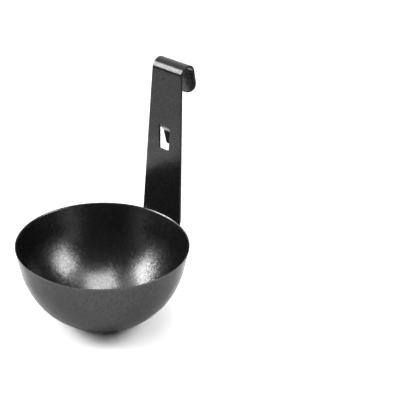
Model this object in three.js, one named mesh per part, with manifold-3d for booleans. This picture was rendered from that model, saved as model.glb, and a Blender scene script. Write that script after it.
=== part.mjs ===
// Egg poaching cup: a round cup with a flat foot, drawn from sheet steel, and a
// strip handle spot welded to its side. The handle bends over at the top into a
// hook for the rim of a deep pan. A tab, lanced out of a slot lower down, hooks
// over the rim of a shallower pan.
// Millimetres, +Z up. The origin is the centre of the flat foot, and the handle
// stands at +Y. Heights on the handle are measured up from the cup's rim, and
// depths down from it.

import * as THREE from 'three';
import { mergeVertices } from 'three/addons/utils/BufferGeometryUtils.js';
import Module from 'manifold-3d';

const wasm = await Module();
wasm.setup();

// Cup
const rimDiameter = 80; // outside, at the rim
const cupSheet = 0.6;
const wallDraft = 10.4; // degrees, taper of the straight wall below the rim
const wallHeight = 9.4; // of that straight wall
const footDiameter = 27; // flat part of the foot
const footBlend = 8; // outside radius from the foot to the round bottom

// Handle strip
const stripSheet = 1.2;
const stripWidthAtRim = 23.25;
const stripWidthAtTop = 17.55;
const stripLean = 1.5; // degrees that the strip leans outwards
const stripHeight = 71.75; // from the rim to the start of the hook's bend
const hookRadius = 4.75; // outside of the bend
const hookFlare = 13.5; // degrees that the tongue stands out from the vertical
const tongueLength = 13.5; // straight free end of the hook
const tongueCorner = 7.7;
const tailLength = 22; // below the rim, along the cup's side
const tailCorner = 7;
const tailSettle = 8; // depth at which the flat strip has taken the cup's curve
const seatGap = 0.3; // between the tail and the cup

// Slot and tab
const slotTop = 45.7; // height of its upper edge
const slotHeight = 12.4;
const slotWidthTop = 6.9;
const slotWidthBottom = 5.8;
const tabKerf = 0.3; // sheared gap between the tab and the slot
const tabCorner = 1;
const tabRootRadius = 1.2; // to the middle of the sheet
const tabRootAngle = 45; // degrees from the vertical, on the step out of the slot
const tabStep = 3.2; // length of that step
const tabHeelRadius = 1.5;
const tabHeelAngle = 15; // degrees, where the long part of the tab starts
const tabEndAngle = 13; // degrees, at its free end

// Spot welds
const weldDiameter = 4.6;
const weldThickness = 0.5;
const weldClearance = 0.3;
const weldFromEnd = 7.5; // from the tail's end to the middle of the lower weld
const weldSpacing = 6.5; // between the two welds

// Mesh fineness, in steps
const roundSteps = 72;
const sphereSteps = 14;
const blendSteps = 5;
const tailSteps = 9;
const hookSteps = 28;
const cornerSteps = 6;
const tabSteps = 4; // in each of its short bends
const sweepSteps = 12; // along its long part
const weldSteps = 16;
const sideSteps = 3; // across the strip, from its edge to the slot
const slotSteps = 4; // across the slot

const radians = THREE.MathUtils.degToRad;
const lerp = THREE.MathUtils.lerp;

// The cup's outside is a tapered wall, tangent to a sphere, which is tangent to
// the blend round the foot.
const rimRadius = rimDiameter / 2;
const footRadius = footDiameter / 2;
const draft = radians(wallDraft);
const sphereRadius = (rimRadius - wallHeight * Math.tan(draft)) / Math.cos(draft);
const sphereDepth = wallHeight - sphereRadius * Math.sin(draft);
const blendDrop = Math.sqrt((sphereRadius - footBlend) ** 2 - footRadius ** 2);
const rimHeight = sphereDepth + blendDrop + footBlend;
const sphereHeight = rimHeight - sphereDepth;

function arcPoints(centre, radius, from, to, steps) {
  const points = [];
  for (let i = 0; i <= steps; i += 1) {
    const angle = lerp(from, to, i / steps);
    const x = centre.x + radius * Math.cos(angle);
    const y = centre.y + radius * Math.sin(angle);
    points.push(new THREE.Vector2(x, y));
  }
  return points;
}

// Half of the cup's section, from the axis to the rim, inset from its outside.
function cupProfile(inset) {
  const blendCentre = new THREE.Vector2(footRadius, footBlend);
  const sphereCentre = new THREE.Vector2(0, sphereHeight);
  const join = -Math.atan2(blendDrop, footRadius);
  const blend = arcPoints(blendCentre, footBlend - inset, -Math.PI / 2, join, blendSteps);
  const sphere = arcPoints(sphereCentre, sphereRadius - inset, join, -draft, sphereSteps);
  const rim = new THREE.Vector2(rimRadius - inset / Math.cos(draft), rimHeight);
  return [new THREE.Vector2(0, inset), ...blend, ...sphere.slice(1), rim];
}

function cupGeometry() {
  const outside = cupProfile(0);
  const inside = cupProfile(cupSheet).reverse();
  const geometry = new THREE.LatheGeometry([...outside, ...inside], roundSteps);
  return geometry.rotateX(Math.PI / 2);
}

// A point off the cup's outside, in the plane of the handle, a given length down
// its side from the rim, with the outward direction there.
function besideCup(length, offset) {
  const wallLength = wallHeight / Math.cos(draft);
  const angle = -draft - Math.max(0, length - wallLength) / sphereRadius;
  const outward = new THREE.Vector2(Math.cos(angle), Math.sin(angle));
  const onWall = new THREE.Vector2(
    rimRadius - length * Math.sin(draft),
    rimHeight - length * Math.cos(draft),
  );
  const onSphere = new THREE.Vector2(0, sphereHeight).addScaledVector(outward, sphereRadius);
  const surface = length < wallLength ? onWall : onSphere;
  return { point: surface.addScaledVector(outward, offset), angle };
}

// The strip's middle plane, above the rim.
const lean = radians(stripLean);
const stripOffset = seatGap + stripSheet / 2;

function stripPlaneY(z) {
  return rimRadius + stripOffset + (z - rimHeight) * Math.tan(lean);
}

function stripHalfWidth(height) {
  const share = THREE.MathUtils.clamp(height / stripHeight, 0, 1);
  return lerp(stripWidthAtRim, stripWidthAtTop, share) / 2;
}

function slotHalfWidth(height) {
  const share = THREE.MathUtils.clamp((slotTop - height) / slotHeight, 0, 1);
  return lerp(slotWidthTop, slotWidthBottom, share) / 2;
}

// Half the width of a strip with rounded corners, a given length from its end.
function cornered(halfWidth, corner, fromEnd) {
  const inCorner = THREE.MathUtils.clamp(corner - fromEnd, 0, corner);
  return halfWidth - corner + Math.sqrt(corner ** 2 - inCorner ** 2);
}

// Lengths from a strip's end back to where its corner begins.
function cornerLengths(corner) {
  const lengths = [];
  for (let i = 0; i <= cornerSteps; i += 1) {
    lengths.push(corner * (1 - Math.cos((i / cornerSteps) * (Math.PI / 2))));
  }
  return lengths;
}

// A bent centre line in the handle's plane. The heading is in radians from +Z
// towards +Y, and each bend is a straight run or a turn of a given radius.
function bendPath(start, heading, bends) {
  const stations = [{ y: start.y, z: start.z, length: 0 }];
  for (const bend of bends) {
    const from = stations.at(-1);
    const turn = bend.turn ?? 0;
    const side = Math.sign(turn) * (bend.radius ?? 0);
    const run = bend.run ?? Math.abs(turn) * bend.radius;
    for (let i = 1; i <= bend.steps; i += 1) {
      const part = i / bend.steps;
      const now = heading + turn * part;
      const straight = turn === 0 ? run * part : 0;
      stations.push({
        y: from.y + side * (Math.cos(heading) - Math.cos(now)) + straight * Math.sin(heading),
        z: from.z + side * (Math.sin(now) - Math.sin(heading)) + straight * Math.cos(heading),
        length: from.length + run * part,
      });
    }
    heading += turn;
  }
  return stations;
}

// Shares of a row's half width, with lines that follow the slot's two sides.
function columnShares(height) {
  const inSlot = THREE.MathUtils.clamp(height, slotTop - slotHeight, slotTop);
  const slotShare = slotHalfWidth(inSlot) / stripHalfWidth(inSlot);
  const shares = [];
  for (let i = 0; i < sideSteps; i += 1) {
    shares.push(lerp(-1, -slotShare, i / sideSteps));
  }
  for (let i = 0; i <= slotSteps; i += 1) {
    shares.push(lerp(-slotShare, slotShare, i / slotSteps));
  }
  for (let i = 1; i <= sideSteps; i += 1) {
    shares.push(lerp(slotShare, 1, i / sideSteps));
  }
  return shares;
}

// Below the rim the tail bends from the strip's plane to the cup's side.
function tailRow(length, halfWidth) {
  const { point } = besideCup(length, stripOffset);
  const settled = THREE.MathUtils.smoothstep(rimHeight - point.y, 0, tailSettle);
  return columnShares(rimHeight - length).map((share) => {
    const x = share * halfWidth;
    const round = Math.sqrt(point.x ** 2 - x ** 2);
    return new THREE.Vector3(x, lerp(stripPlaneY(point.y), round, settled), point.y);
  });
}

function tailRows() {
  const corner = cornerLengths(tailCorner).map((fromEnd) => {
    const halfWidth = cornered(stripWidthAtRim / 2, tailCorner, fromEnd);
    return tailRow(tailLength - fromEnd, halfWidth);
  });
  const rows = [...corner];
  for (let i = 1; i < tailSteps; i += 1) {
    const length = lerp(tailLength - tailCorner, 0, i / tailSteps);
    rows.push(tailRow(length, stripWidthAtRim / 2));
  }
  return rows;
}

function stripRows() {
  const top = rimHeight + stripHeight;
  const heights = [0, slotTop - slotHeight, slotTop - slotHeight / 2, slotTop];
  const upright = heights.map((height) => ({
    y: stripPlaneY(rimHeight + height),
    z: rimHeight + height,
    halfWidth: stripHalfWidth(height),
  }));
  const hookTurn = Math.PI - radians(hookFlare) - lean;
  const tongue = cornerLengths(tongueCorner).reverse();
  const runs = tongue.slice(1).map((fromEnd, i) => ({ run: tongue[i] - fromEnd, steps: 1 }));
  const hook = bendPath({ y: stripPlaneY(top), z: top }, lean, [
    { turn: hookTurn, radius: hookRadius - stripSheet / 2, steps: hookSteps },
    { run: tongueLength - tongueCorner, steps: 1 },
    ...runs,
  ]);
  const end = hook.at(-1).length;
  hook.forEach((row) => {
    row.halfWidth = cornered(stripWidthAtTop / 2, tongueCorner, end - row.length);
  });
  return [...upright, ...hook].map((row) =>
    columnShares(row.z - rimHeight).map((share) => new THREE.Vector3(share * row.halfWidth, row.y, row.z)),
  );
}

// The tab hangs from the slot's upper edge: a step outwards, then a long sweep
// that turns back towards the strip. It is as long as the slot it came from.
function tabRows() {
  const root = radians(tabRootAngle);
  const heel = radians(tabHeelAngle);
  const sweep = heel - radians(tabEndAngle);
  const stepLength = (root + lean) * tabRootRadius + tabStep + (root - heel) * tabHeelRadius;
  const tabLength = slotHeight - tabKerf;
  const start = { y: stripPlaneY(rimHeight + slotTop), z: rimHeight + slotTop };
  const path = bendPath(start, Math.PI + lean, [
    { turn: -(root + lean), radius: tabRootRadius, steps: tabSteps },
    { run: tabStep, steps: 1 },
    { turn: root - heel, radius: tabHeelRadius, steps: tabSteps },
    { turn: sweep, radius: (tabLength - stepLength) / sweep, steps: sweepSteps },
  ]);
  return path.slice(1).map((row) => {
    const halfWidth = slotHalfWidth(slotTop - row.length) - tabKerf;
    const width = cornered(halfWidth, tabCorner, tabLength - row.length);
    const points = [];
    for (let i = 0; i <= slotSteps; i += 1) {
      points.push(new THREE.Vector3(lerp(-width, width, i / slotSteps), row.y, row.z));
    }
    return points;
  });
}

// A sheet of even thickness about a patchwork of four-sided faces. Edges that
// only one face uses get a wall.
function thickened(points, faces, thickness) {
  const normals = points.map(() => new THREE.Vector3());
  const edges = new Set();
  for (const face of faces) {
    const [a, b, c, d] = face.map((index) => points[index]);
    const normal = c.clone().sub(a).cross(d.clone().sub(b)).normalize();
    face.forEach((index, i) => {
      normals[index].add(normal);
      edges.add(`${index} ${face[(i + 1) % 4]}`);
    });
  }
  const positions = [];
  for (const side of [0.5, -0.5]) {
    points.forEach((point, i) => {
      const moved = point.clone().addScaledVector(normals[i].normalize(), side * thickness);
      positions.push(moved.x, moved.y, moved.z);
    });
  }
  const back = points.length;
  const triangles = [];
  const addFace = (a, b, c, d) => triangles.push(a, b, c, a, c, d);
  for (const face of faces) {
    const [a, b, c, d] = face;
    addFace(a, b, c, d);
    addFace(back + d, back + c, back + b, back + a);
    face.forEach((from, i) => {
      const to = face[(i + 1) % 4];
      if (!edges.has(`${to} ${from}`)) {
        addFace(back + from, back + to, to, from);
      }
    });
  }
  const geometry = new THREE.BufferGeometry();
  geometry.setAttribute('position', new THREE.Float32BufferAttribute(positions, 3));
  return geometry.setIndex(triangles);
}

// The handle is one sheet: tail, strip, hook and, inside the slot, the tab.
function handleGeometry() {
  const tail = tailRows();
  const rows = [...tail, ...stripRows()];
  const points = rows.flat();
  const columns = rows[0].length;
  const slotFirst = tail.length + 1;
  const slotLast = slotFirst + 2;
  const faces = [];
  for (let row = 0; row + 1 < rows.length; row += 1) {
    for (let column = 0; column + 1 < columns; column += 1) {
      const besideSlot = column < sideSteps || column >= sideSteps + slotSteps;
      if (besideSlot || row < slotFirst || row >= slotLast) {
        const low = row * columns + column;
        faces.push([low, low + 1, low + columns + 1, low + columns]);
      }
    }
  }
  let above = slotLast * columns + sideSteps;
  for (const row of tabRows()) {
    const below = points.length;
    points.push(...row);
    for (let i = 0; i < slotSteps; i += 1) {
      faces.push([below + i, below + i + 1, above + i + 1, above + i]);
    }
    above = below;
  }
  return thickened(points, faces, stripSheet);
}

// Solids for cutting, from closed meshes.
function toSolid(geometry) {
  const bare = geometry.clone();
  bare.deleteAttribute('normal');
  bare.deleteAttribute('uv');
  const merged = mergeVertices(bare);
  const corners = merged.getIndex().array;
  const triangles = [];
  for (let i = 0; i < corners.length; i += 3) {
    const [a, b, c] = corners.slice(i, i + 3);
    if (a !== b && b !== c && c !== a) {
      triangles.push(a, b, c);
    }
  }
  return new wasm.Manifold(new wasm.Mesh({
    numProp: 3,
    vertProperties: new Float32Array(merged.getAttribute('position').array),
    triVerts: new Uint32Array(triangles),
  }));
}

function toGeometry(solid) {
  const mesh = solid.getMesh();
  const geometry = new THREE.BufferGeometry();
  geometry.setAttribute('position', new THREE.Float32BufferAttribute(mesh.vertProperties, 3));
  return geometry.setIndex(Array.from(mesh.triVerts));
}

// A weld nugget is a flat lens, half in each sheet. Its pocket is larger all
// round by the clearance.
function weldGeometry(length, clearance) {
  const { point, angle } = besideCup(length, seatGap / 2);
  const across = weldDiameter / 2 + clearance;
  const through = weldThickness / 2 + clearance;
  return new THREE.SphereGeometry(1, weldSteps, weldSteps / 2)
    .scale(across, through, across)
    .rotateX(angle)
    .translate(0, point.x, point.y);
}

// Lengths down the cup's side, from the rim to the middle of each weld.
const lowerWeld = tailLength - weldFromEnd;
const upperWeld = lowerWeld - weldSpacing;

function withPockets(geometry) {
  const upper = toSolid(weldGeometry(upperWeld, weldClearance));
  const lower = toSolid(weldGeometry(lowerWeld, weldClearance));
  return toGeometry(toSolid(geometry).subtract(upper).subtract(lower));
}

const coating = new THREE.MeshStandardMaterial({ color: 0x202020, roughness: 0.35, metalness: 0 });
const weldMetal = new THREE.MeshStandardMaterial({ color: 0x8c8c8a, roughness: 0.5, metalness: 1 });

function part(name, geometry, material) {
  const mesh = new THREE.Mesh(geometry, material);
  mesh.name = name;
  return mesh;
}

const cup = new THREE.Group();
cup.add(
  part('cup_bowl', withPockets(cupGeometry()), coating),
  part('hook_handle', withPockets(handleGeometry()), coating),
  part('spot_weld_upper', weldGeometry(upperWeld, 0), weldMetal),
  part('spot_weld_lower', weldGeometry(lowerWeld, 0), weldMetal),
);

export default cup;
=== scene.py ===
# Looks of an egg poaching cup: a coated sheet steel cup with a strip handle, on a white studio floor.
# Metres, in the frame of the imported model: the origin is the centre of the foot, +Z is up and the
# handle stands at +Y. Heights on the handle are measured up from the cup's rim.

import math

import bpy
from mathutils import Matrix, Vector


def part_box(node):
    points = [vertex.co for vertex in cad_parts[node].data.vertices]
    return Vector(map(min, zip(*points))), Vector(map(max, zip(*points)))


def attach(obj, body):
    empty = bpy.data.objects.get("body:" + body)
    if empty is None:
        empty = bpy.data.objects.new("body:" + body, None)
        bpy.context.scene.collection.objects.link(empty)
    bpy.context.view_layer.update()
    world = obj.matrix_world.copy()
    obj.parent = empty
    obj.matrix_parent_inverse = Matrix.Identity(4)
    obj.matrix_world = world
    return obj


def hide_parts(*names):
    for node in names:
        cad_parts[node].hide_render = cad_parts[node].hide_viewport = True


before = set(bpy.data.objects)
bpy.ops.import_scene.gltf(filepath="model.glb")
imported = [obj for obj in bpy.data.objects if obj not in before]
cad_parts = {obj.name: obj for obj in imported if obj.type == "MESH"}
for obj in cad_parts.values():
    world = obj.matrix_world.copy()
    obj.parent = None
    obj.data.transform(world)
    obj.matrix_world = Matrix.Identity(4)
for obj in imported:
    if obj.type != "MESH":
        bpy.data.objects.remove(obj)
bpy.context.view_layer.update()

# Cup
RIM_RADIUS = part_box("cup_bowl")[1].x
RIM_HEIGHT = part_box("cup_bowl")[1].z
CUP_SHEET = 0.0006
WALL_DRAFT = math.radians(10.4)
WALL_HEIGHT = 0.0094
FOOT_RADIUS = 0.0135
FOOT_BLEND = 0.008
ROLL_RADIUS = 0.004
ROLL_END = math.radians(5)
LIP_OUTSIDE = 0.0001
LIP_INSIDE = 0.0012

# Handle strip
STRIP_SHEET = 0.0012
STRIP_WIDTH_AT_RIM = 0.02325
STRIP_WIDTH_AT_TOP = 0.01755
STRIP_LEAN = math.radians(1.5)
STRIP_HEIGHT = 0.07175
HOOK_RADIUS = 0.00475
HOOK_FLARE = math.radians(13.5)
TONGUE_LENGTH = 0.0135
TONGUE_CORNER = 0.0077
TAIL_LENGTH = 0.022
TAIL_CORNER = 0.007
TAIL_SETTLE = 0.008
SEAT_GAP = 0.0003
EDGE_RADIUS = 0.00014
SHARP_ANGLE = math.radians(50)

# Slot and tab
SLOT_TOP = 0.0457
SLOT_HEIGHT = 0.0124
SLOT_WIDTH_TOP = 0.0069
SLOT_WIDTH_BOTTOM = 0.0058
TAB_KERF = 0.0003
TAB_CORNER = 0.001
TAB_ROOT_RADIUS = 0.0012
TAB_ROOT_ANGLE = math.radians(40)
TAB_STEP = 0.0032
TAB_HEEL_RADIUS = 0.0015
TAB_HEEL_ANGLE = math.radians(15)
TAB_END_ANGLE = math.radians(13)

# Marks that the welding tips leave on the tail
MARK_RADIUS = 0.0028
MARK_FLAT = 0.0018
MARK_DEPTH = 0.0002
MARK_FROM_END = 0.0075
MARK_SPACING = 0.0065

# Mesh fineness, in steps
ROUND_STEPS = 192
FOOT_STEPS = 4
BLEND_STEPS = 12
BALL_STEPS = 44
LIP_STEPS = 8
TAIL_STEPS = 24
CORNER_STEPS = 12
STRIP_STEPS = 14
SLOT_STEPS = 8
HOOK_STEPS = 32
TONGUE_STEPS = 6
BEND_STEPS = 8
SWEEP_STEPS = 18
SIDE_STEPS = 12
TAB_COLUMNS = 8
EDGE_SEGMENTS = 3

# Coatings: refraction, then low and high tone, roughness and gloss, then how far the grains lean
CUP_COATING = (1.76, (0.005, 0.010), (0.23, 0.28), (0.42, 0.58), 0.033)
HANDLE_COATING = (1.48, (0.016, 0.023), (0.15, 0.19), (0.42, 0.58), 0.014)
# The handle's edge faces are darker and duller than its faces.
EDGE_FACE_COATING = (1.48, (0.010, 0.016), (0.45, 0.55), (0.15, 0.25), 0.02)
GRAIN_SIZE = 0.0005
TONE_SIZE = 0.0008
ROUGHNESS_SIZE = 0.002
WELD_TONE = (0.38, 0.5)
WELD_ROUGHNESS = (0.4, 0.6)
WELD_ROUGHNESS_SIZE = 0.0004
RAMP_START = 0.3  # the range that noise mostly keeps to
RAMP_END = 0.7

# Camera: where it stands from the centre of the rim, and where it looks
CAMERA_AZIMUTH = math.radians(44.43)
CAMERA_ELEVATION = math.radians(29.86)
CAMERA_DISTANCE = 0.5714
CAMERA_YAW = math.radians(38.90)
CAMERA_PITCH = math.radians(28.16)
CAMERA_ROLL = math.radians(2.21)
CAMERA_LENS = 107.2
CAMERA_CLIP = 0.01

# Floor: its reach, and its tone to the camera, at the foot and farther off. The tone at the foot is painted
# light: it lightens the floor round the foot so that only the deep part of the shadow shows.
FLOOR_FRONT = 0.36
FLOOR_BACK = 2.0
FLOOR_SIDE = 0.4
FLOOR_DROP = 0.00002
FLOOR_TONE = 0.8
FLOOR_PAINTED_LIGHT_NEAR = 2.85
FLOOR_FAR = 1.5
SHADOW_NEAR = 0.03
SHADOW_FAR = 0.09

# Tones of the floor in the gloss: on most of it, and painted light on a spot behind the cup and on a ring
# round the cup, which brighten the floor in the cup's reflections. The distances say where each begins and
# ends.
MIRRORED = 1.25
MIRRORED_PAINTED_LIGHT_BEHIND = 2.2
MIRRORED_PAINTED_LIGHT_ROUND = 1.9
BEHIND_START = -0.02
BEHIND_END = 0.015
PAINTED_SPOT_BEHIND = 0.04
PAINTED_SPOT_NEAR = 0.055
PAINTED_SPOT_FAR = 0.072
PAINTED_RING_INSIDE = (0.07, 0.088)
PAINTED_RING_OUTSIDE = (0.13, 0.18)

# World: the light from above, and what the gloss shows behind the cup and of the room, low down and high up
FILL = 1.55
FILL_FROM = (-0.22, -0.05, 0.96)
FILL_FOCUS = 4.0
BACKDROP = 1.2
BACKDROP_START = 0.1
BACKDROP_END = 0.6
ROOM = 0.09
ROOM_LOW = 0.25
ROOM_HEIGHT = 0.2

# Lamps: direction from the cup, width, height, radiance and the rays that see them
LAMP_DISTANCE = 1.2
LAMPS = {
    "softbox_left": ((-0.644, -0.589, 0.489), 0.68, 0.70, 14.3, "glossy"),
    "softbox_right": ((0.782, 0.406, 0.474), 0.60, 0.62, 10.1, "glossy"),
    "softbox_top": ((0.105, -0.065, 0.992), 0.82, 0.64, 8.7, "glossy"),
    "glow_left": ((-0.455, -0.417, 0.788), 0.68, 0.45, 1.5, "glossy"),
    "glow_right": ((0.545, 0.283, 0.788), 0.64, 0.45, 1.7, "glossy"),
    "light_left": ((-0.88, -0.46, 0.45), 0.60, 0.60, 7.0, "diffuse"),
    "light_right": ((0.447, 0.825, 0.50), 0.60, 0.60, 5.2, "diffuse"),
}

# The cup's outside is a tapered wall, tangent to a ball, which is tangent to the blend round the foot.
# The wall's top rolls upright to the rim, so its straight part leans a little more than WALL_DRAFT.
BALL_RADIUS = (RIM_RADIUS - WALL_HEIGHT * math.tan(WALL_DRAFT)) / math.cos(WALL_DRAFT)
BALL_DEPTH = WALL_HEIGHT - BALL_RADIUS * math.sin(WALL_DRAFT)
BALL_HEIGHT = RIM_HEIGHT - BALL_DEPTH
BLEND_DROP = math.sqrt((BALL_RADIUS - FOOT_BLEND) ** 2 - FOOT_RADIUS**2)
ROLL_HEIGHT = RIM_HEIGHT - LIP_OUTSIDE * (1 - math.sin(ROLL_END)) - ROLL_RADIUS * math.sin(ROLL_END)
STRIP_OFFSET = SEAT_GAP + STRIP_SHEET / 2
BEHIND = (-math.sin(CAMERA_AZIMUTH), math.cos(CAMERA_AZIMUTH), 0)


def clamp(value, low, high):
    return max(low, min(high, value))


def mix(start, end, share):
    return start + (end - start) * share


def smoothstep(value, low, high):
    share = clamp((value - low) / (high - low), 0, 1)
    return share * share * (3 - 2 * share)


def spread(start, end, steps):
    """Even steps from start, up to and without end."""
    return [mix(start, end, i / steps) for i in range(steps)]


def arc(centre, radius, start, end, steps):
    """Points on an arc, from one angle to another."""
    angles = [*spread(start, end, steps), end]
    return [(centre[0] + radius * math.cos(a), centre[1] + radius * math.sin(a)) for a in angles]


def add_mesh(name, points, faces, material):
    """A smooth object of its own, with one material."""
    mesh = bpy.data.meshes.new(name)
    mesh.from_pydata(points, [], faces)
    mesh.validate()
    mesh.shade_smooth()
    mesh.materials.append(material)
    piece = bpy.data.objects.new(name, mesh)
    bpy.context.scene.collection.objects.link(piece)
    return piece


# Cup


def wall_lean():
    """How far the straight wall leans, to touch both the ball and the roll below the rim."""
    across, up = RIM_RADIUS - ROLL_RADIUS, ROLL_HEIGHT - BALL_HEIGHT
    reach = BALL_RADIUS - ROLL_RADIUS
    along = math.sqrt(across**2 + up**2 - reach**2)
    return math.atan2(along, reach) - math.atan2(up, across)


def cup_side(inset):
    """Half of the cup's section, from its axis to the foot of the straight wall."""
    join = -math.atan2(BLEND_DROP, FOOT_RADIUS)
    foot = [(radius, inset) for radius in spread(0, FOOT_RADIUS, FOOT_STEPS)]
    blend = arc((FOOT_RADIUS, FOOT_BLEND), FOOT_BLEND - inset, -math.pi / 2, join, BLEND_STEPS)
    ball = arc((0, BALL_HEIGHT), BALL_RADIUS - inset, join, -wall_lean(), BALL_STEPS)
    return foot + blend + ball[1:]


def cup_lip():
    """The wall's top rolls upright. A tight rounding and a wide one inside meet at the rim's edge."""
    lean = wall_lean()
    roll = (RIM_RADIUS - ROLL_RADIUS, ROLL_HEIGHT)
    out = ROLL_RADIUS - LIP_OUTSIDE
    edge = (roll[0] + out * math.cos(ROLL_END), roll[1] + out * math.sin(ROLL_END))
    step = LIP_INSIDE - LIP_OUTSIDE
    deep = ROLL_RADIUS - out * math.cos(lean + ROLL_END)
    meet = math.pi - lean - math.acos((deep + LIP_INSIDE - CUP_SHEET) / step)
    inside = (edge[0] - step * math.cos(meet), edge[1] - step * math.sin(meet))
    rolled = arc(roll, ROLL_RADIUS, -lean, ROLL_END, LIP_STEPS)
    over = arc(edge, LIP_OUTSIDE, ROLL_END, meet, LIP_STEPS)
    into = arc(inside, LIP_INSIDE, meet, math.pi - lean, LIP_STEPS)
    return rolled + over[1:] + into[1:]


def turned(profile, steps):
    """Points and faces of a closed profile, turned about Z. Both its ends lie on the axis."""
    points = [(0, 0, profile[0][1]), (0, 0, profile[-1][1])]
    rings = profile[1:-1]
    for radius, height in rings:
        for i in range(steps):
            angle = 2 * math.pi * i / steps
            points.append((radius * math.cos(angle), radius * math.sin(angle), height))
    last = 2 + (len(rings) - 1) * steps
    faces = []
    for i in range(steps):
        j = (i + 1) % steps
        faces.append((0, 2 + j, 2 + i))
        faces.append((1, last + i, last + j))
        for ring in range(2, last, steps):
            faces.append((ring + i, ring + j, ring + steps + j, ring + steps + i))
    return points, faces


def make_cup(material):
    profile = cup_side(0) + cup_lip() + cup_side(CUP_SHEET)[::-1]
    cup = add_mesh("cup", *turned(profile, ROUND_STEPS), material)
    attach(cup, "root")
    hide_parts("cup_bowl")


# Handle


def beside_cup(length, offset):
    """Distance from the axis and height, off the cup's outside, a length down its side from the rim."""
    wall = WALL_HEIGHT / math.cos(WALL_DRAFT)
    angle = -WALL_DRAFT - max(0, length - wall) / BALL_RADIUS
    across, along = math.cos(angle), math.sin(angle)
    if length < wall:
        radius = RIM_RADIUS - length * math.sin(WALL_DRAFT)
        height = RIM_HEIGHT - length * math.cos(WALL_DRAFT)
    else:
        radius, height = BALL_RADIUS * across, BALL_HEIGHT + BALL_RADIUS * along
    return radius + offset * across, height + offset * along


def strip_y(z):
    return RIM_RADIUS + STRIP_OFFSET + (z - RIM_HEIGHT) * math.tan(STRIP_LEAN)


def strip_half_width(height):
    return mix(STRIP_WIDTH_AT_RIM, STRIP_WIDTH_AT_TOP, clamp(height / STRIP_HEIGHT, 0, 1)) / 2


def slot_half_width(height):
    share = clamp((SLOT_TOP - height) / SLOT_HEIGHT, 0, 1)
    return mix(SLOT_WIDTH_TOP, SLOT_WIDTH_BOTTOM, share) / 2


def cornered(half_width, corner, from_end):
    """Half the width of a strip with rounded corners, a length from its end."""
    inside = clamp(corner - from_end, 0, corner)
    return half_width - corner + math.sqrt(corner**2 - inside**2)


def corner_lengths(corner):
    """Lengths from a strip's end back to where its corner begins."""
    turns = [*spread(0, math.pi / 2, CORNER_STEPS), math.pi / 2]
    return [corner * (1 - math.cos(turn)) for turn in turns]


def columns(height):
    """Places across the strip as shares of its half width, with lines along the slot and the tab."""
    level = clamp(height, SLOT_TOP - SLOT_HEIGHT, SLOT_TOP)
    slot = slot_half_width(level) / strip_half_width(level)
    tab = (slot_half_width(level) - TAB_KERF) / strip_half_width(level)
    left = spread(-1, -slot, SIDE_STEPS) + [-slot]
    middle = spread(-tab, tab, TAB_COLUMNS) + [tab]
    return left + middle + [-share for share in reversed(left)]


def bend_path(start, heading, bends):
    """Stations (y, z, length) along a bent line. The heading turns from +Z towards +Y, in radians.

    Each bend is (turn, size, steps): an arc of radius size, or a run of length size if turn is 0.
    """
    stations = [(*start, 0)]
    for turn, size, steps in bends:
        y, z, length = stations[-1]
        for i in range(1, steps + 1):
            part = i / steps
            now = heading + turn * part
            if turn:
                side = math.copysign(size, turn)
                step_y = side * (math.cos(heading) - math.cos(now))
                step_z = side * (math.sin(now) - math.sin(heading))
                run = abs(turn) * size * part
            else:
                step_y = size * part * math.sin(heading)
                step_z = size * part * math.cos(heading)
                run = size * part
            stations.append((y + step_y, z + step_z, length + run))
        heading += turn
    return stations


def mark_depth(x, length):
    """How deep a welding tip has pressed the tail towards the cup."""
    depth = 0
    for centre in (TAIL_LENGTH - MARK_FROM_END, TAIL_LENGTH - MARK_FROM_END - MARK_SPACING):
        away = math.hypot(x, length - centre)
        depth += MARK_DEPTH * (1 - smoothstep(away, MARK_FLAT, MARK_RADIUS))
    return depth


def tail_row(length):
    """Below the rim the tail bends from the strip's plane to the cup's side."""
    half_width = cornered(STRIP_WIDTH_AT_RIM / 2, TAIL_CORNER, TAIL_LENGTH - length)
    radius, height = beside_cup(length, STRIP_OFFSET)
    settled = smoothstep(RIM_HEIGHT - height, 0, TAIL_SETTLE)
    row = []
    for share in columns(0):
        x = share * half_width
        pressed = radius - mark_depth(x, length)
        y = mix(strip_y(height), math.sqrt(pressed**2 - x**2), settled)
        row.append((x, y, height))
    return row


def tail_rows():
    ends = [TAIL_LENGTH - length for length in corner_lengths(TAIL_CORNER)]
    lengths = ends[:-1] + spread(TAIL_LENGTH - TAIL_CORNER, 0, TAIL_STEPS)
    return [tail_row(length) for length in lengths]


def strip_rows():
    """Rows from the rim to the end of the hook's tongue."""
    slot_bottom = SLOT_TOP - SLOT_HEIGHT
    heights = spread(0, slot_bottom, STRIP_STEPS) + spread(slot_bottom, SLOT_TOP, SLOT_STEPS)
    heights += spread(SLOT_TOP, STRIP_HEIGHT, STRIP_STEPS)
    rows = []
    for height in heights:
        z = RIM_HEIGHT + height
        rows.append([(share * strip_half_width(height), strip_y(z), z) for share in columns(height)])
    top = RIM_HEIGHT + STRIP_HEIGHT
    ends = corner_lengths(TONGUE_CORNER)[::-1]
    bends = [
        (math.pi - HOOK_FLARE - STRIP_LEAN, HOOK_RADIUS - STRIP_SHEET / 2, HOOK_STEPS),
        (0, TONGUE_LENGTH - TONGUE_CORNER, TONGUE_STEPS),
        *((0, before - after, 1) for before, after in zip(ends, ends[1:])),
    ]
    hook = bend_path((strip_y(top), top), STRIP_LEAN, bends)
    end = hook[-1][2]
    for y, z, length in hook:
        half_width = cornered(STRIP_WIDTH_AT_TOP / 2, TONGUE_CORNER, end - length)
        rows.append([(share * half_width, y, z) for share in columns(STRIP_HEIGHT)])
    return rows


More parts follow.
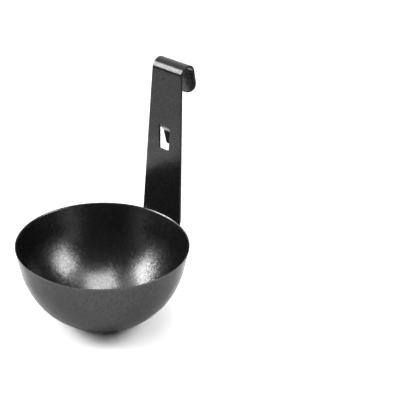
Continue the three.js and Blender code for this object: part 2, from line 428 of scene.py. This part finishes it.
def tab_rows():
    """The tab steps outwards from the slot's upper edge, then sweeps down, turning back to the strip."""
    tab_length = SLOT_HEIGHT - TAB_KERF
    root = (TAB_ROOT_ANGLE + STRIP_LEAN) * TAB_ROOT_RADIUS
    heel = (TAB_ROOT_ANGLE - TAB_HEEL_ANGLE) * TAB_HEEL_RADIUS
    sweep = TAB_HEEL_ANGLE - TAB_END_ANGLE
    sweep_length = tab_length - root - TAB_STEP - heel
    start = (strip_y(RIM_HEIGHT + SLOT_TOP), RIM_HEIGHT + SLOT_TOP)
    bends = [
        (-TAB_ROOT_ANGLE - STRIP_LEAN, TAB_ROOT_RADIUS, BEND_STEPS),
        (0, TAB_STEP, BEND_STEPS // 2),
        (TAB_ROOT_ANGLE - TAB_HEEL_ANGLE, TAB_HEEL_RADIUS, BEND_STEPS),
        (sweep, sweep_length / sweep, SWEEP_STEPS),
    ]
    rows = []
    for y, z, length in bend_path(start, math.pi + STRIP_LEAN, bends)[1:]:
        half_width = slot_half_width(SLOT_TOP - length) - TAB_KERF
        width = cornered(half_width, TAB_CORNER, tab_length - length)
        rows.append([(x, y, z) for x in [*spread(-width, width, TAB_COLUMNS), width]])
    return rows


def handle_sheet():
    """Points and faces of the handle's middle surface: one grid with a slot in it, and the tab."""
    tail = tail_rows()
    rows = tail + strip_rows()
    points = [point for row in rows for point in row]
    width = len(rows[0])
    slot_first = len(tail) + STRIP_STEPS
    slot_last = slot_first + SLOT_STEPS
    faces = []
    for i in range(len(rows) - 1):
        for j in range(width - 1):
            beside = j < SIDE_STEPS or j >= width - 1 - SIDE_STEPS
            if beside or not slot_first <= i < slot_last:
                low = i * width + j
                faces.append((low, low + 1, low + width + 1, low + width))
    above = slot_last * width + SIDE_STEPS + 1
    for row in tab_rows():
        below = len(points)
        points += row
        for j in range(TAB_COLUMNS):
            faces.append((below + j, below + j + 1, above + j + 1, above + j))
        above = below
    return points, faces


def make_handle(material, edge_material):
    handle = add_mesh("handle", *handle_sheet(), material)
    handle.data.materials.append(edge_material)
    sheet = handle.modifiers.new("sheet", "SOLIDIFY")
    sheet.thickness = STRIP_SHEET
    sheet.offset = 0
    sheet.use_even_offset = True
    sheet.material_offset_rim = 1
    edges = handle.modifiers.new("edges", "BEVEL")
    edges.width = EDGE_RADIUS
    edges.segments = EDGE_SEGMENTS
    edges.limit_method = "ANGLE"
    edges.angle_limit = SHARP_ANGLE
    edges.use_clamp_overlap = False
    shading = handle.modifiers.new("shading", "WEIGHTED_NORMAL")
    shading.keep_sharp = False
    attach(handle, "root")
    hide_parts("hook_handle")


# Materials


def new_material(name):
    material = bpy.data.materials.new(name)
    material.use_nodes = True
    tree = material.node_tree
    return material, tree, tree.nodes["Principled BSDF"]


def noise(tree, size, detail):
    """Noise with features of about one size, in metres."""
    places = tree.nodes.new("ShaderNodeTexCoord")
    node = tree.nodes.new("ShaderNodeTexNoise")
    node.inputs["Scale"].default_value = 1 / size
    node.inputs["Detail"].default_value = detail
    tree.links.new(places.outputs["Object"], node.inputs["Vector"])
    return node.outputs["Fac"]


def ramp(tree, value, low, high):
    """The value, spread from low to high."""
    node = tree.nodes.new("ShaderNodeMapRange")
    node.inputs["From Min"].default_value = RAMP_START
    node.inputs["From Max"].default_value = RAMP_END
    node.inputs["To Min"].default_value = low
    node.inputs["To Max"].default_value = high
    tree.links.new(value, node.inputs["Value"])
    return node.outputs["Result"]


def grains(tree, size):
    """Grains of about one size, in metres, with a random colour each."""
    places = tree.nodes.new("ShaderNodeTexCoord")
    node = tree.nodes.new("ShaderNodeTexVoronoi")
    node.inputs["Scale"].default_value = 1 / size
    tree.links.new(places.outputs["Object"], node.inputs["Vector"])
    return node.outputs["Color"]


def tilted(tree, colours, slope):
    """The surface's normal, leant over in each grain by the grain's own random colour."""
    surface = tree.nodes.new("ShaderNodeNewGeometry")
    lean = tree.nodes.new("ShaderNodeVectorMath")
    lean.operation = "MULTIPLY_ADD"
    lean.inputs[1].default_value = (2 * slope,) * 3
    lean.inputs[2].default_value = (-slope,) * 3
    tree.links.new(colours, lean.inputs[0])
    total = tree.nodes.new("ShaderNodeVectorMath")
    tree.links.new(surface.outputs["Normal"], total.inputs[0])
    tree.links.new(lean.outputs["Vector"], total.inputs[1])
    normal = tree.nodes.new("ShaderNodeVectorMath")
    normal.operation = "NORMALIZE"
    tree.links.new(total.outputs["Vector"], normal.inputs[0])
    return normal.outputs["Vector"]


def coating_material(name, ior, tone, roughness, gloss, slope):
    """Black non-stick coating: a semi-gloss with a fine grain."""
    material, tree, shader = new_material(name)
    shader.inputs["IOR"].default_value = ior
    colours = grains(tree, GRAIN_SIZE)
    parts = tree.nodes.new("ShaderNodeSeparateColor")
    tree.links.new(colours, parts.inputs["Color"])
    tones = ramp(tree, noise(tree, TONE_SIZE, 2.0), *tone)
    tree.links.new(tones, shader.inputs["Base Color"])
    roughnesses = ramp(tree, noise(tree, ROUGHNESS_SIZE, 3.0), *roughness)
    tree.links.new(roughnesses, shader.inputs["Roughness"])
    tree.links.new(ramp(tree, parts.outputs["Red"], *gloss), shader.inputs["Specular IOR Level"])
    tree.links.new(tilted(tree, colours, slope), shader.inputs["Normal"])
    return material


def weld_material():
    """Bare steel that has melted and set inside the joint."""
    material, tree, shader = new_material("weld_metal")
    shader.inputs["Metallic"].default_value = 1.0
    tones = ramp(tree, noise(tree, TONE_SIZE, 2.0), *WELD_TONE)
    tree.links.new(tones, shader.inputs["Base Color"])
    roughnesses = ramp(tree, noise(tree, WELD_ROUGHNESS_SIZE, 2.0), *WELD_ROUGHNESS)
    tree.links.new(roughnesses, shader.inputs["Roughness"])
    return material


def dress_welds():
    material = weld_material()
    for name in ("spot_weld_upper", "spot_weld_lower"):
        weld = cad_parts[name]
        weld.data.materials.clear()
        weld.data.materials.append(material)


# Studio


def feed(tree, item, socket):
    """Gives a socket a number, or what another socket puts out."""
    if isinstance(item, float):
        socket.default_value = item
    else:
        tree.links.new(item, socket)


def by_ray(tree, ray, other, value):
    """A value for one kind of ray, and another value or socket for the rest."""
    rays = tree.nodes.new("ShaderNodeLightPath")
    choice = tree.nodes.new("ShaderNodeMix")
    tree.links.new(rays.outputs[ray], choice.inputs["Factor"])
    feed(tree, other, choice.inputs["A"])
    feed(tree, value, choice.inputs["B"])
    return choice.outputs["Result"]


def fade(tree, value, start, end, low, high):
    """Goes smoothly from low to high where the value goes from start to end."""
    node = tree.nodes.new("ShaderNodeMapRange")
    node.interpolation_type = "SMOOTHSTEP"
    ends = (("Value", value), ("From Min", start), ("From Max", end), ("To Min", low), ("To Max", high))
    for socket, item in ends:
        feed(tree, item, node.inputs[socket])
    return node.outputs["Result"]


def compared(tree, places, operation, vector):
    """The distance or the dot product of a place, or a view of the world, and a vector."""
    start = tree.nodes.new("ShaderNodeTexCoord")
    node = tree.nodes.new("ShaderNodeVectorMath")
    node.operation = operation
    node.inputs[1].default_value = vector
    tree.links.new(start.outputs[places], node.inputs[0])
    return node.outputs["Value"]


def towards(tree, direction):
    """How far a view of the world points in one direction."""
    return compared(tree, "Generated", "DOT_PRODUCT", direction)


def floor_material():
    """Matt white. To the camera it is white but for the deep part of the shadow: painted light round the
    foot lifts the rest of the shadow. In the gloss it has painted light on a spot behind the cup and on a
    ring round it.
    """
    material = bpy.data.materials.new("floor")
    material.use_nodes = True
    tree = material.node_tree
    tree.nodes.clear()
    output = tree.nodes.new("ShaderNodeOutputMaterial")
    shader = tree.nodes.new("ShaderNodeBsdfDiffuse")
    away = compared(tree, "Object", "DISTANCE", (0, 0, 0))
    # Painted light: to the camera the floor is lighter round the foot, so only the deep part of the shadow
    # shows.
    seen_with_painted_light = fade(tree, away, SHADOW_NEAR, SHADOW_FAR, FLOOR_PAINTED_LIGHT_NEAR, FLOOR_FAR)
    # Painted light in the gloss: the floor is lighter on a spot behind the cup and on a ring round it.
    behind = compared(tree, "Object", "DOT_PRODUCT", BEHIND)
    painted_light_behind = fade(tree, behind, BEHIND_START, BEHIND_END, MIRRORED, MIRRORED_PAINTED_LIGHT_BEHIND)
    spot = compared(tree, "Object", "DISTANCE", Vector(BEHIND) * PAINTED_SPOT_BEHIND)
    near = fade(tree, spot, PAINTED_SPOT_NEAR, PAINTED_SPOT_FAR, painted_light_behind, MIRRORED)
    ring = fade(tree, away, *PAINTED_RING_INSIDE, near, MIRRORED_PAINTED_LIGHT_ROUND)
    mirrored_with_painted_light = fade(tree, away, *PAINTED_RING_OUTSIDE, ring, MIRRORED)
    mirrored = by_ray(tree, "Is Glossy Ray", FLOOR_TONE, mirrored_with_painted_light)
    tree.links.new(by_ray(tree, "Is Camera Ray", mirrored, seen_with_painted_light), shader.inputs["Color"])
    tree.links.new(shader.outputs["BSDF"], output.inputs["Surface"])
    return material


def make_floor():
    """A sheet that ends a little in front of the cup, as the camera sees it."""
    corners = []
    for side, back in ((-1, -FLOOR_FRONT), (1, -FLOOR_FRONT), (1, FLOOR_BACK), (-1, FLOOR_BACK)):
        corner = Matrix.Rotation(CAMERA_AZIMUTH, 3, "Z") @ Vector((side * FLOOR_SIDE, back, -FLOOR_DROP))
        corners.append(corner)
    floor = add_mesh("floor", corners, [(0, 1, 2, 3)], floor_material())


def make_lamp(name, direction, width, height, radiance, rays):
    """A softbox that faces the cup, for glossy or for diffuse rays.

    A glossy one gives its light to what the camera sees straight, which weakens its second mirror images
    inside the cup.
    """
    data = bpy.data.lights.new(name, "AREA")
    data.shape = "RECTANGLE"
    data.size = width
    data.size_y = height
    data.energy = radiance * math.pi * width * height
    lamp = bpy.data.objects.new(name, data)
    away = Vector(direction).normalized()
    lamp.location = Vector((0, 0, RIM_HEIGHT)) + away * LAMP_DISTANCE
    lamp.rotation_euler = away.to_track_quat("Z", "Y").to_euler()
    lamp.visible_camera = False
    lamp.visible_glossy = rays == "glossy"
    lamp.visible_diffuse = rays == "diffuse"
    if rays == "glossy":
        data.cycles.max_bounces = 0
    bpy.context.scene.collection.objects.link(lamp)


def calculated(tree, operation, first, second):
    """The result of a sum on a socket and a number."""
    node = tree.nodes.new("ShaderNodeMath")
    node.operation = operation
    tree.links.new(first, node.inputs[0])
    node.inputs[1].default_value = second
    return node.outputs["Value"]


def make_world():
    """White to the camera and, mirrored, behind the cup. Mirrored, the rest is a dark room."""
    world = bpy.data.worlds.new("studio")
    world.use_nodes = True
    tree = world.node_tree
    tree.nodes.clear()
    output = tree.nodes.new("ShaderNodeOutputWorld")
    background = tree.nodes.new("ShaderNodeBackground")
    background.inputs["Color"].default_value = (1, 1, 1, 1)
    room = fade(tree, towards(tree, (0, 0, 1)), 0.0, ROOM_HEIGHT, ROOM_LOW, ROOM)
    behind = towards(tree, BEHIND)
    backdrop = fade(tree, behind, BACKDROP_START, BACKDROP_END, room, BACKDROP)
    above = calculated(tree, "MAXIMUM", towards(tree, FILL_FROM), 0.0)
    fill = calculated(tree, "MULTIPLY", calculated(tree, "POWER", above, FILL_FOCUS), FILL)
    mirrored = by_ray(tree, "Is Glossy Ray", fill, backdrop)
    tree.links.new(by_ray(tree, "Is Camera Ray", mirrored, 1.0), background.inputs["Strength"])
    tree.links.new(background.outputs["Background"], output.inputs["Surface"])
    bpy.context.scene.world = world


def make_camera():
    data = bpy.data.cameras.new("camera")
    data.lens = CAMERA_LENS
    data.clip_start = CAMERA_CLIP
    camera = bpy.data.objects.new("camera", data)
    level, up = math.cos(CAMERA_ELEVATION), math.sin(CAMERA_ELEVATION)
    back = Vector((math.sin(CAMERA_AZIMUTH) * level, -math.cos(CAMERA_AZIMUTH) * level, up))
    yaw = Matrix.Rotation(CAMERA_YAW, 4, "Z")
    tilt = Matrix.Rotation(math.pi / 2 - CAMERA_PITCH, 4, "X")
    roll = Matrix.Rotation(CAMERA_ROLL, 4, "Z")
    place = Matrix.Translation(Vector((0, 0, RIM_HEIGHT)) + back * CAMERA_DISTANCE)
    camera.matrix_world = place @ yaw @ tilt @ roll
    bpy.context.scene.collection.objects.link(camera)
    bpy.context.scene.camera = camera


make_camera()
make_cup(coating_material("cup_coating", *CUP_COATING))
make_handle(
    coating_material("handle_coating", *HANDLE_COATING),
    coating_material("edge_face_coating", *EDGE_FACE_COATING),
)
dress_welds()
make_floor()
for lamp_name, lamp in LAMPS.items():
    make_lamp(lamp_name, *lamp)
make_world()
bpy.context.scene.view_settings.view_transform = "Standard"
